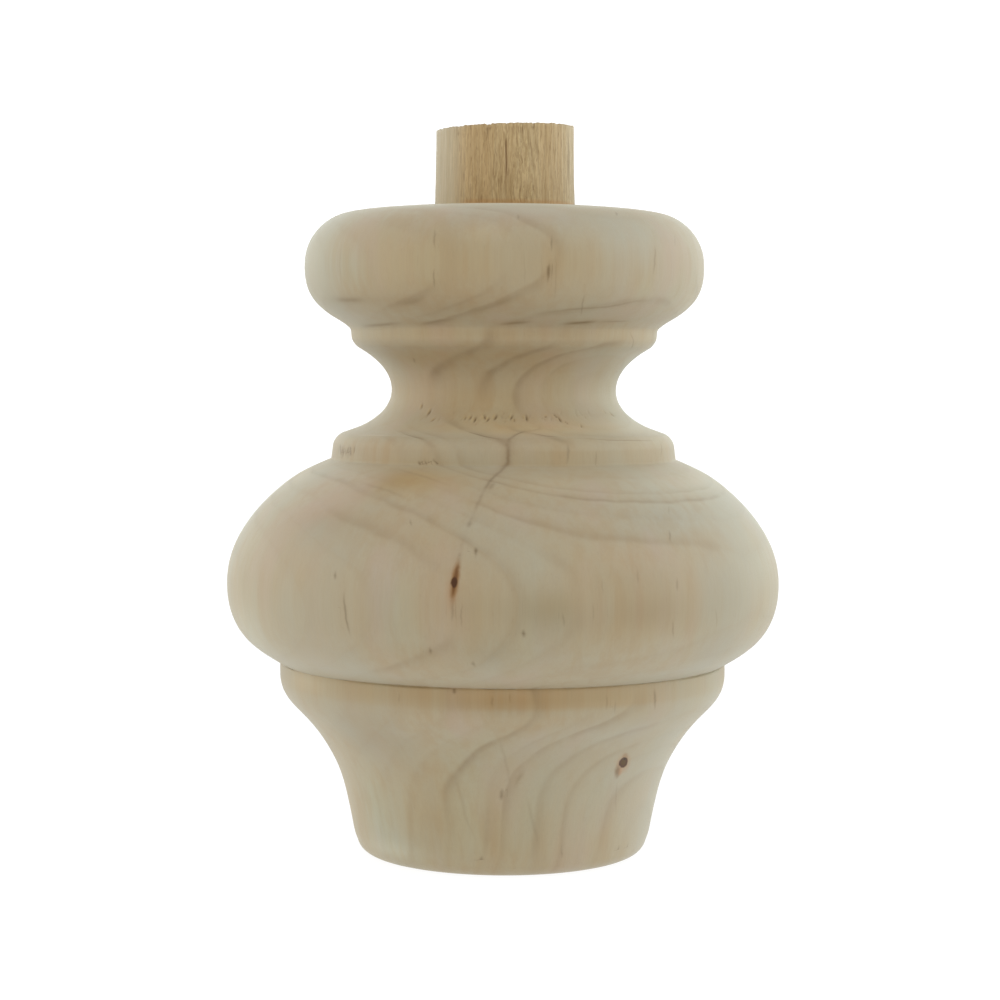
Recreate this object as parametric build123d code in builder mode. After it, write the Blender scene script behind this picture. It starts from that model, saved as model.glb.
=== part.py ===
from build123d import *
import os

# Turned wooden furniture leg: one piece of pale wood, turned between centres.
# Frame: +Z up, origin at the middle of the flat base, turning axis on Z.
# All sizes in millimetres. Each profile point is (radius, height).

# ---- overall -------------------------------------------------------------
bulb_d = 100.0  # widest diameter, at the bulb
shoulder_z = 116.45  # flat shoulder under the tenon: the height of the foot
tenon_d = 24.9  # turned tenon, a snug fit in a 25 mm hole
tenon_z = 131.0  # height of the sawn end on the axis
saw_lean = 0.036  # rise of the sawn end per mm along +X

# ---- foot ----------------------------------------------------------------
base_r = 26.2  # where the foot wall would meet the floor, before rounding
base_round = 3.0  # rounding of the standing edge
foot_wall = [  # slim ankle flaring up to the fillet under the bulb
    (27.22, 5.3),
    (28.35, 10.7),
    (29.7, 15.25),
    (31.65, 19.25),
    (34.1, 22.9),
    (36.65, 25.8),
    (38.6, 27.85),
    (39.75, 29.55),
    (40.25, 30.9),
]
fillet_r = 40.45  # side of the fillet under the bulb
fillet_low_z = 32.4
seam_z = 34.7  # top of that fillet, at the quirk

# ---- bulb ----------------------------------------------------------------
quirk_depth = 0.5  # fine groove cut where the bulb meets the fillet
bulb_start = (40.65, 35.05)
bulb_low = [(43.72, 36.97), (46.55, 39.3), (48.87, 42.9)]
bulb_mid_z = 48.4
bulb_high = [
    (49.3, 54.15),
    (47.1, 58.9),
    (43.95, 63.05),
    (40.6, 66.25),
    (37.0, 68.85),
    (33.72, 70.5),
]
bulb_end = (31.6, 71.42)

# ---- fillet above the bulb and cove ---------------------------------------
collar_low = (31.3, 71.6)
collar_high = (30.95, 73.9)
collar_brow = (30.25, 75.45)  # middle of its rounded upper edge
cove_low = (28.7, 76.4)
cove = [
    (25.6, 77.57),
    (23.15, 79.07),
    (21.3, 80.97),
    (20.35, 83.6),
    (20.85, 86.4),
    (22.35, 88.6),
    (24.5, 90.45),
]
cove_high = (26.05, 91.45)
neck_brow = (27.12, 92.35)
neck_low = (27.6, 93.4)
neck_high = (27.72, 94.7)

# ---- head ------------------------------------------------------------------
head_start = (28.05, 95.25)
head = [
    (29.45, 96.27),
    (31.25, 97.35),
    (33.45, 99.1),
    (35.02, 101.1),
    (35.8, 103.3),
    (36.07, 106.1),
    (35.75, 108.95),
    (34.7, 111.4),
    (33.05, 113.4),
    (30.7, 115.0),
    (27.4, 115.9),
    (23.2, 116.35),
]
shoulder_r = 19.0  # the shoulder is flat inside this radius

# ---- the leg, revolved from one closed half section -------------------------
with BuildPart() as turned_leg:
    with BuildSketch(Plane.XZ) as half_section:
        with BuildLine() as outline:
            Line((0, 0), (base_r, 0))
            # ankle and its flare
            Spline(
                (base_r, 0),
                *foot_wall,
                (fillet_r, fillet_low_z),
                tangents=[(0.19, 1.0), (0.02, 1.0)],
            )
            Line((fillet_r, fillet_low_z), (fillet_r, seam_z))
            # quirk: a small V cut with the point of the tool
            Line((fillet_r, seam_z), (fillet_r - quirk_depth, seam_z + 0.22))
            Line((fillet_r - quirk_depth, seam_z + 0.22), bulb_start)
            # bulb
            Spline(
                bulb_start,
                *bulb_low,
                (bulb_d / 2, bulb_mid_z),
                *bulb_high,
                bulb_end,
                tangents=[(1.65, 1.0), (-2.35, 1.0)],
            )
            # collar above the bulb
            Line(bulb_end, collar_low)
            Line(collar_low, collar_high)
            ThreePointArc(collar_high, collar_brow, cove_low)
            # cove
            Spline(
                cove_low,
                *cove,
                cove_high,
                tangents=[(-2.8, 1.0), (1.6, 1.0)],
            )
            ThreePointArc(cove_high, neck_brow, neck_low)
            Line(neck_low, neck_high)
            Line(neck_high, head_start)
            # head: ogee underneath, then the full round
            Spline(
                head_start,
                *head,
                (shoulder_r, shoulder_z),
                tangents=[(1.1, 1.0), (-1.0, 0.0)],
            )
            # flat shoulder and straight tenon, left long for the saw cut
            Line((shoulder_r, shoulder_z), (tenon_d / 2, shoulder_z))
            Line((tenon_d / 2, shoulder_z), (tenon_d / 2, tenon_z + 2.0))
            Line((tenon_d / 2, tenon_z + 2.0), (0, tenon_z + 2.0))
            Line((0, tenon_z + 2.0), (0, 0))
        make_face()
    revolve(axis=Axis.Z)
    # rounded standing edge
    rim = (
        turned_leg.edges()
        .filter_by(GeomType.CIRCLE)
        .filter_by_position(Axis.Z, -0.01, 0.01)
    )
    fillet(rim, radius=base_round)
    # the tenon's end is a plain saw cut, a little out of square
    saw_cut = Plane(origin=(0, 0, tenon_z), z_dir=(-saw_lean, 0, 1.0))
    split(bisect_by=saw_cut, keep=Keep.BOTTOM)

turned_leg.part.label = "turned_leg"

os.makedirs("parts", exist_ok=True)
export_step(turned_leg.part, "parts/turned_leg.step")

box = turned_leg.part.bounding_box()
print("size", box.size, "min", box.min, "max", box.max)
print("volume cm3", round(turned_leg.part.volume / 1000.0, 2))
print("solids", len(turned_leg.part.solids()), "faces", len(turned_leg.part.faces()))
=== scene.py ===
import math

import bpy
import numpy as np
from mathutils import Matrix, Vector


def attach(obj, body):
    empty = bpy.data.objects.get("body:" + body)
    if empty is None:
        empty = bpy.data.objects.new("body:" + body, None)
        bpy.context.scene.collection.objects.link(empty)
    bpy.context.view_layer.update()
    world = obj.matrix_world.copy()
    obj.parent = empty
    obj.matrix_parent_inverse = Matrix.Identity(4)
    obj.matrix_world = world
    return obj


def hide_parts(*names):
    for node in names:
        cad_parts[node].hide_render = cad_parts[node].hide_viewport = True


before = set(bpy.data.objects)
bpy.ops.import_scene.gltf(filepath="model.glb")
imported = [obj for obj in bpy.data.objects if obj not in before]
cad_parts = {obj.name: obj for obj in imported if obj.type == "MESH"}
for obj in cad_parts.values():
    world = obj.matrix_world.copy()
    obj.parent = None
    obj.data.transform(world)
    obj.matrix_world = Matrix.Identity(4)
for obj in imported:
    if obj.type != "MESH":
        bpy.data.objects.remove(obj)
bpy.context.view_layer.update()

# A turned wooden furniture leg, one piece of raw pale wood.
# Angles are degrees round the axis: 0 faces the camera (-Y), plus is towards +X.
# Heights and sizes are millimetres in the tables and metres in the meshes.

TOP = 131.0  # height of the sawn end on the axis
SAW_LEAN = 0.036  # rise of the sawn end per mm along +X

# ---- the turned outline: (radius, height), from the flat base up to the sawn end ----
PROFILE = [
    (8.00, 0.00), (15.00, 0.00), (19.50, 0.00), (22.00, 0.00), (23.48, 0.00), (24.00, 0.04), (24.50, 0.18), (24.96, 0.39),
    (25.39, 0.69), (25.76, 1.05), (26.06, 1.47), (26.28, 1.94), (26.43, 2.43), (26.77, 3.29), (27.00, 4.17), (27.18, 5.08),
    (27.35, 5.98), (27.53, 6.88), (27.71, 7.78), (27.90, 8.68), (28.10, 9.58), (28.30, 10.48), (28.51, 11.37), (28.74, 12.27),
    (28.99, 13.15), (29.27, 14.03), (29.57, 14.90), (29.90, 15.76), (30.27, 16.60), (30.67, 17.43), (31.09, 18.25), (31.54, 19.05),
    (32.00, 19.84), (32.49, 20.62), (33.00, 21.39), (33.53, 22.14), (34.08, 22.88), (34.66, 23.59), (35.26, 24.29), (35.87, 24.98),
    (36.50, 25.65), (37.15, 26.30), (37.79, 26.96), (38.41, 27.64), (38.99, 28.35), (39.50, 29.12), (39.92, 29.94), (40.21, 30.81),
    (40.39, 31.71), (40.45, 32.40), (40.45, 32.86), (40.45, 33.32), (40.45, 33.78), (40.45, 34.24), (40.45, 34.45), (40.42, 34.62),
    (40.35, 34.73), (40.23, 34.81), (40.17, 34.88), (40.23, 34.94), (40.43, 35.00), (40.58, 35.07), (40.87, 35.24), (41.63, 35.65),
    (42.36, 36.10), (43.09, 36.56), (43.81, 37.03), (44.51, 37.53), (45.18, 38.06), (45.84, 38.61), (46.46, 39.21), (47.02, 39.86),
    (47.55, 40.54), (48.03, 41.25), (48.44, 42.01), (48.80, 42.78), (49.13, 43.58), (49.39, 44.40), (49.60, 45.23), (49.76, 46.08),
    (49.89, 46.93), (49.96, 47.79), (50.00, 48.64), (50.00, 49.50), (49.97, 50.36), (49.88, 51.22), (49.77, 52.07), (49.61, 52.92),
    (49.40, 53.75), (49.16, 54.57), (48.87, 55.38), (48.54, 56.18), (48.17, 56.96), (47.78, 57.72), (47.36, 58.47), (46.90, 59.20),
    (46.43, 59.92), (45.94, 60.62), (45.42, 61.31), (44.88, 61.98), (44.32, 62.63), (43.74, 63.27), (43.15, 63.89), (42.54, 64.49),
    (41.91, 65.09), (41.27, 65.66), (40.62, 66.22), (39.96, 66.77), (39.29, 67.31), (38.59, 67.81), (37.88, 68.30), (37.16, 68.76),
    (36.41, 69.18), (35.65, 69.58), (34.88, 69.96), (34.10, 70.33), (33.31, 70.68), (32.52, 71.02), (31.72, 71.36), (31.42, 71.47),
    (31.26, 71.62), (31.20, 71.87), (31.14, 72.38), (31.07, 72.89), (31.01, 73.39), (30.95, 73.90), (30.88, 74.25), (30.77, 74.59),
    (30.62, 74.91), (30.43, 75.22), (30.21, 75.50), (29.96, 75.75), (29.67, 75.97), (29.37, 76.15), (29.04, 76.29), (28.70, 76.40),
    (28.36, 76.52), (28.02, 76.64), (27.68, 76.76), (27.34, 76.88), (27.00, 77.00), (26.67, 77.12), (26.33, 77.26), (26.00, 77.39),
    (25.67, 77.54), (25.34, 77.70), (25.02, 77.86), (24.71, 78.03), (24.40, 78.22), (24.09, 78.40), (23.79, 78.60), (23.50, 78.81),
    (23.21, 79.03), (22.93, 79.25), (22.65, 79.48), (22.38, 79.72), (22.13, 79.97), (21.88, 80.24), (21.64, 80.51), (21.43, 80.80),
    (21.23, 81.09), (21.04, 81.40), (20.88, 81.72), (20.73, 82.05), (20.60, 82.39), (20.51, 82.73), (20.43, 83.08), (20.37, 83.44),
    (20.34, 83.80), (20.34, 84.16), (20.36, 84.52), (20.44, 85.11), (20.59, 85.69), (20.79, 86.26), (21.05, 86.80), (21.35, 87.32),
    (21.69, 87.81), (22.07, 88.28), (22.47, 88.72), (22.90, 89.14), (23.34, 89.54), (23.81, 89.93), (24.28, 90.29), (24.77, 90.64),
    (25.28, 90.96), (25.78, 91.28), (26.05, 91.45), (26.33, 91.61), (26.59, 91.80), (26.83, 92.01), (27.04, 92.25), (27.23, 92.51),
    (27.39, 92.79), (27.51, 93.09), (27.60, 93.40), (27.64, 93.83), (27.68, 94.27), (27.72, 94.70), (27.83, 94.98), (28.05, 95.25),
    (28.48, 95.59), (28.92, 95.92), (29.38, 96.22), (29.85, 96.51), (30.32, 96.79), (30.79, 97.07), (31.26, 97.36), (31.72, 97.67),
    (32.16, 98.00), (32.59, 98.33), (33.01, 98.70), (33.41, 99.07), (33.80, 99.46), (34.16, 99.88), (34.50, 100.30), (34.80, 100.76),
    (35.21, 101.52), (35.53, 102.32), (35.76, 103.14), (35.92, 103.99), (36.02, 104.84), (36.07, 105.70), (36.06, 106.56), (36.01, 107.42),
    (35.89, 108.27), (35.70, 109.11), (35.42, 109.92), (35.07, 110.71), (34.65, 111.46), (34.16, 112.16), (33.61, 112.82), (33.01, 113.43),
    (32.30, 114.02), (31.54, 114.54), (30.73, 114.98), (29.88, 115.33), (29.00, 115.59), (28.10, 115.78), (27.19, 115.93), (26.28, 116.05),
    (25.37, 116.15), (24.45, 116.23), (23.53, 116.32), (22.62, 116.40), (21.70, 116.44), (20.78, 116.45), (19.86, 116.45), (19.00, 116.45),
    (17.00, 116.45), (15.00, 116.45), (13.10, 116.45), (12.80, 116.52), (12.70, 116.70), (12.64, 117.05), (12.62, 117.66), (12.59, 118.26),
    (12.57, 118.87), (12.55, 119.48), (12.53, 120.08), (12.51, 120.69), (12.50, 121.30), (12.49, 121.90), (12.47, 122.51), (12.46, 123.12),
    (12.45, 123.72), (12.43, 124.33), (12.42, 124.93), (12.42, 125.54), (12.41, 126.15), (12.40, 126.75), (12.39, 127.36), (12.38, 127.97),
    (12.38, 128.57), (12.38, 129.18), (12.38, 129.79), (12.38, 130.39), (12.38, 131.00),
]

# ---- growth rings ---------------------------------------------------------------
# The pith runs up inside the wood, leaning a little; rings are circles round it.
PITH = (10.91, -7.51)  # at 60 mm up
PITH_LEAN = (-0.105, -0.008)  # per mm of height
RINGS = [0, 4, 7, 10.2, 13.3, 16.1, 18.9, 23.1, 27.6, 29.4, 32.5, 35.6, 38.6, 41.8, 46.2, 50, 54, 58.5, 63, 68, 73, 78]  # radii, mm

# Lines of the figure that can be seen: (ring radius, strength, [(angle, height), ...])
FIGURE = [
    (29.4, 0.80, [(-22.2, 72.2), (-11.7, 70.9), (-3.7, 69.5), (3.0, 68.3), (11.4, 67.1), (23.0, 65.9), (34.5, 65.4), (50.2, 65.5), (64.7, 66.2)]),
    (35.6, 0.52, [(-5.1, 64.7), (6.2, 63.1), (13.9, 61.6), (21.8, 60.7), (28.5, 60.3), (37.2, 59.4), (48.0, 59.3)]),
    (41.8, 0.58, [(-78.5, 69.3), (-53.4, 69.4), (-41.9, 68.3), (-30.9, 66.2), (-23.8, 64.8), (-16.2, 63.0), (-10.4, 61.0), (-7.9, 59.9)]),
    (46.2, 0.45, [(-42.7, 62.7), (-33.9, 62.5), (-28.6, 61.8), (-23.3, 59.9), (-18.4, 58.5), (-15.0, 57.2)]),
    (46.2, 0.45, [(-27.3, 38.3), (-19.2, 39.9), (-14.1, 41.9), (-11.4, 42.9)]),
    (41.8, 0.36, [(-4.9, 58.8), (2.0, 55.1), (4.7, 48.7), (1.1, 42.9), (-6.3, 39.6)]),
    (38.6, 0.30, [(8.9, 57.6), (12.1, 54.6), (13.3, 47.0), (7.3, 41.4), (3.6, 39.1)]),
    (32.5, 1.00, [(8.0, 34.3), (5.6, 28.7), (-2.5, 24.9), (-8.4, 22.6), (-14.3, 20.2), (-22.4, 14.7), (-25.2, 10.4), (-27.3, 6.1)]),
    (32.5, 0.30, [(-19.6, 17.0), (-17.3, 11.7), (-13.7, 6.6), (-12.8, 4.5)]),
    (27.6, 0.60, [(35.2, 30.3), (26.1, 28.1), (18.4, 26.2), (12.1, 24.0), (7.6, 21.5), (3.6, 18.5), (-1.1, 12.0), (-2.9, 6.9)]),
    (23.1, 0.42, [(41.6, 27.2), (34.1, 26.0), (26.1, 24.7), (17.3, 21.1), (13.0, 15.2), (12.7, 10.9), (12.2, 5.9)]),
    (18.9, 0.40, [(40.8, 22.7), (29.2, 20.7), (24.1, 16.9), (22.8, 13.2), (22.1, 8.5), (21.6, 2.2)]),
    (13.3, 0.30, [(52.1, 17.7), (44.2, 14.5), (40.4, 10.2), (39.4, 4.2)]),
    (35.6, 0.25, [(-24.9, 19.2), (-30.2, 16.0), (-33.9, 9.9), (-37.1, 3.5)]),
    (23.1, 1.15, [(-6.8, 92.2), (-15.5, 91.1), (-25.0, 89.1), (-32.2, 87.7)]),
    (18.9, 1.05, [(13.5, 91.3), (5.0, 90.5), (-4.7, 87.4), (-8.0, 85.6)]),
    (16.1, 0.90, [(43.9, 93.0), (27.7, 91.0), (15.0, 88.5), (8.0, 85.3), (7.1, 83.2)]),
    (29.4, 0.75, [(-40.0, 76.7), (-29.5, 76.2), (-24.5, 75.9)]),
    (23.1, 0.85, [(-21.0, 78.1), (-12.8, 77.1), (-1.2, 76.0)]),
    (18.9, 0.80, [(7.2, 77.3), (17.0, 76.2)]),
    (16.1, 0.40, [(23.4, 77.0), (42.1, 76.1)]),
    (27.6, 0.50, [(-7.0, 115.2), (1.4, 114.4), (6.7, 112.5), (10.1, 110.3)]),
    (27.6, 0.70, [(11.7, 108.0), (7.9, 102.7), (0.7, 99.8), (-6.2, 98.9), (-15.1, 97.3), (-22.1, 96.0)]),
    (23.1, 0.50, [(7.8, 96.6), (22.9, 98.4), (31.4, 98.8), (44.5, 99.7), (56.3, 100.5)]),
    (32.5, 0.68, [(-35.5, 98.7), (-26.6, 100.0), (-21.4, 100.5)]),
]

# Trace of a small branch: (angle, height, strength)
TRACE = [(14.4, 77.7, 0.25), (7.8, 77.3, 0.55), (4.6, 76.9, 0.60), (1.4, 76.0, 0.80), (1.4, 74.9, 1.00), (1.4, 72.0, 1.00), (-0.0, 71.3, 0.80), (-0.9, 70.8, 0.75), (-3.3, 69.6, 0.90), (-4.7, 68.0, 0.70), (-6.0, 65.7, 0.50), (-7.1, 63.0, 0.25), (-8.0, 60.8, 0.18), (-8.4, 59.0, 0.25), (-8.7, 56.6, 0.70)]

# Short dark flecks along the grain: ([(angle, height), ...], half width mm, strength)
FLECKS = [
    ([(11.8, 105.8), (11.8, 104.0), (11.6, 102.7)], 0.30, 0.85),
    ([(12.8, 110.2), (12.5, 107.8)], 0.22, 0.55),
    ([(46.0, 109.3), (45.2, 106.9), (45.0, 104.2)], 0.20, 0.40),
    ([(58.1, 111.4), (55.7, 109.6)], 0.18, 0.25),
    ([(22.7, 100.9), (23.2, 99.1), (25.0, 97.0)], 0.16, 0.40),
    ([(-19.8, 111.5), (-19.5, 109.8), (-18.8, 107.9)], 0.18, 0.45),
    ([(-19.0, 104.9), (-19.4, 103.3), (-19.4, 101.4)], 0.18, 0.45),
    ([(52.0, 94.7), (58.3, 91.4)], 0.16, 0.45),
    ([(-5.5, 59.0), (-5.4, 57.7)], 0.32, 0.95),
    ([(-31.7, 51.4), (-31.8, 49.8), (-31.2, 46.8), (-30.9, 43.8)], 0.24, 0.60),
    ([(-34.3, 54.1), (-34.1, 53.3)], 0.28, 0.70),
    ([(3.9, 45.9), (4.0, 44.6)], 0.34, 0.85),
    ([(11.3, 48.6), (11.5, 46.7)], 0.18, 0.35),
    ([(35.7, 53.6), (35.5, 51.5)], 0.20, 0.38),
    ([(34.3, 46.7), (35.3, 43.4)], 0.18, 0.38),
    ([(26.8, 55.1), (26.5, 52.8)], 0.18, 0.30),
    ([(37.6, 61.0), (36.7, 59.7)], 0.22, 0.50),
    ([(-9.4, 50.9), (-9.5, 46.9)], 0.26, 0.40),
    ([(-7.7, 50.2), (-7.8, 46.0)], 0.16, 0.34),
    ([(39.6, 33.9), (40.4, 30.2)], 0.26, 0.55),
    ([(-11.5, 34.8), (-11.4, 34.0)], 0.34, 0.80),
    ([(0.0, 16.2), (-0.1, 14.2)], 0.36, 0.65),
    ([(-7.4, 3.2), (-7.2, 1.4)], 0.36, 0.70),
    ([(20.9, 75.4), (20.2, 71.8)], 0.26, 0.42),
    ([(30.8, 74.3), (30.2, 71.4)], 0.18, 0.34),
    ([(65.2, 75.1), (62.4, 72.1)], 0.20, 0.30),
    # the three flecks below lie on cut marks in the collar and paint the shade in them
    ([(-69.8, 74.4), (-67.6, 72.5)], 0.30, 0.70),
    ([(-64.3, 73.9), (-63.0, 72.4)], 0.26, 0.60),
    ([(-60.5, 74.2), (-59.3, 72.6)], 0.30, 0.80),
    ([(-27.8, 72.1), (-27.0, 71.7)], 0.30, 0.85),
    ([(-25.6, 72.2), (-24.9, 71.8)], 0.26, 0.80),
    ([(-22.5, 72.3), (-21.1, 71.8)], 0.28, 0.85),
    ([(65.0, 130.9), (66.0, 126.3), (64.4, 120.8)], 0.32, 0.60),
    ([(37.8, 114.8), (36.5, 114.2)], 0.24, 0.60),
    ([(3.8, 113.5), (3.8, 112.9)], 0.24, 0.60),
    ([(-42.1, 89.6), (-43.2, 89.1)], 0.28, 0.70),
    ([(-2.4, 33.8), (-2.4, 31.8)], 0.22, 0.30),
    ([(1.8, 34.0), (1.8, 32.7)], 0.16, 0.24),
    ([(25.5, 33.5), (25.8, 30.8)], 0.18, 0.30),
    ([(28.0, 32.4), (28.3, 30.5)], 0.18, 0.27),
    ([(-25.3, 33.7), (-25.4, 31.7)], 0.18, 0.24),
    ([(50.3, 2.1), (50.3, 1.0)], 0.26, 0.70),
    ([(56.3, 2.3), (56.2, 1.3)], 0.22, 0.60),
    ([(41.6, 16.4), (45.0, 10.4)], 0.16, 0.22),
    ([(-20.6, 62.8), (-19.5, 62.1)], 0.24, 0.50),
    ([(-14.3, 42.1), (-14.1, 41.6)], 0.30, 0.70),
    ([(-5.9, 39.9), (-5.6, 39.4)], 0.34, 0.70),
    ([(19.1, 54.0), (19.0, 51.1)], 0.14, 0.22),
    ([(17.0, 50.5), (17.1, 46.9)], 0.14, 0.22),
    ([(45.7, 48.1), (46.9, 44.5)], 0.16, 0.26),
    ([(41.8, 65.1), (40.1, 63.7)], 0.20, 0.28),
    ([(13.5, 107.8), (14.2, 99.5)], 0.12, 0.22),
    ([(5.2, 107.7), (5.4, 101.5)], 0.12, 0.14),
    ([(-51.5, 109.9), (-51.9, 102.2)], 0.14, 0.16),
    ([(-15.3, 18.3), (-13.9, 15.1), (-12.8, 10.9), (-9.4, 6.8)], 0.32, 0.15),
    ([(-0.9, 26.3), (1.7, 20.0), (3.1, 16.2)], 0.30, 0.17),
    ([(8.5, 14.7), (11.4, 9.2), (13.7, 5.7)], 0.34, 0.18),
    ([(22.4, 5.2), (23.3, 2.8)], 0.22, 0.34),
    ([(-2.6, 69.1), (-3.5, 68.0)], 0.42, 0.42),
    ([(-7.1, 63.2), (-7.4, 62.1)], 0.42, 0.42),
    ([(-41.8, 130.4), (-42.3, 129.4)], 0.20, 0.60),
    ([(-14.6, 130.8), (-14.9, 129.0)], 0.18, 0.70),
    ([(-12.0, 130.8), (-12.0, 130.2)], 0.20, 0.70),
    ([(23.7, 131.1), (23.3, 130.0)], 0.22, 0.80),
]

# Fine lines that run round the surface: ([(angle, height), ...], half width mm, strength; minus is paler)
CROSS = [
    ([(-41.3, 76.9), (-31.4, 76.2), (-25.4, 75.7)], 0.15, 0.60),
    ([(-15.0, 77.4), (-6.6, 76.5), (0.2, 75.9)], 0.17, 0.75),
    ([(2.2, 76.2), (5.3, 77.0), (8.7, 77.5)], 0.15, 0.50),
    ([(8.5, 77.2), (14.7, 76.6), (21.8, 76.3)], 0.16, 0.65),
    ([(21.8, 76.3), (38.0, 75.8), (66.4, 75.4)], 0.12, 0.40),
    # the paler line on the left of the collar's top edge is a painted highlight
    ([(-63.5, 76.1), (-49.5, 76.3), (-38.8, 76.4)], 0.12, -0.45),
    ([(-65.9, 95.2), (-47.0, 95.5), (-34.4, 96.0)], 0.36, 0.42),
    ([(-33.8, 95.3), (-26.7, 95.8), (-18.5, 96.3), (-14.2, 96.8)], 0.42, 0.30),
    ([(-3.4, 95.5), (2.1, 95.7), (10.7, 96.1)], 0.40, 0.46),
    ([(18.2, 95.6), (26.0, 95.9), (35.0, 96.2)], 0.42, 0.68),
    ([(32.3, 96.1), (39.3, 96.2), (48.7, 96.3)], 0.26, 0.32),
    ([(-61.0, 99.8), (-53.0, 99.7), (-43.2, 99.7)], 0.50, 0.36),
    ([(6.4, 97.0), (19.9, 98.1), (32.4, 98.6), (40.9, 99.6), (51.1, 100.1)], 0.24, 0.28),
    ([(-33.1, 98.7), (-26.9, 99.3), (-21.1, 100.3)], 0.55, 0.24),
    ([(-13.3, 97.1), (-7.9, 97.8), (-2.9, 98.7), (3.1, 100.0), (7.1, 101.3)], 0.60, 0.22),
    ([(-37.8, 71.2), (-22.0, 69.8), (-11.4, 68.1)], 0.34, 0.20),
    ([(-42.7, 68.8), (-29.7, 67.5), (-20.6, 65.8)], 0.38, 0.18),
    ([(3.4, 16.8), (5.5, 18.5), (7.5, 19.6)], 0.45, 0.26),
]

# Torn grain where the tool crossed short fibres: (angle, height, lean in degrees, size)
PITS = [(-42.8, 81.3, -20, 0.8), (-36.4, 80.3, 5, 1.1), (-31.9, 79.0, 25, 0.8), (-16.9, 79.4, 0, 0.7), (-14.7, 79.5, 10, 0.9), (-12.5, 79.2, 0, 1.2), (-8.3, 79.6, -18, 1.1), (-6.8, 79.2, 20, 1.0), (-3.6, 79.6, 15, 1.2), (3.4, 79.6, 20, 1.1), (4.6, 79.1, -10, 0.7), (10.0, 79.5, 0, 1.2), (18.8, 79.7, 60, 0.6), (23.9, 79.8, -35, 1.1), (25.0, 79.2, 0, 1.0), (27.2, 78.7, -30, 0.7), (33.1, 78.1, 20, 0.8), (59.4, 79.9, -25, 0.9), (54.9, 80.4, -25, 0.6)]

# The two pin knots: (angle, height)
KNOT_A = (-9.1, 53.4)
KNOT_B = (41.5, 20.0)
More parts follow.
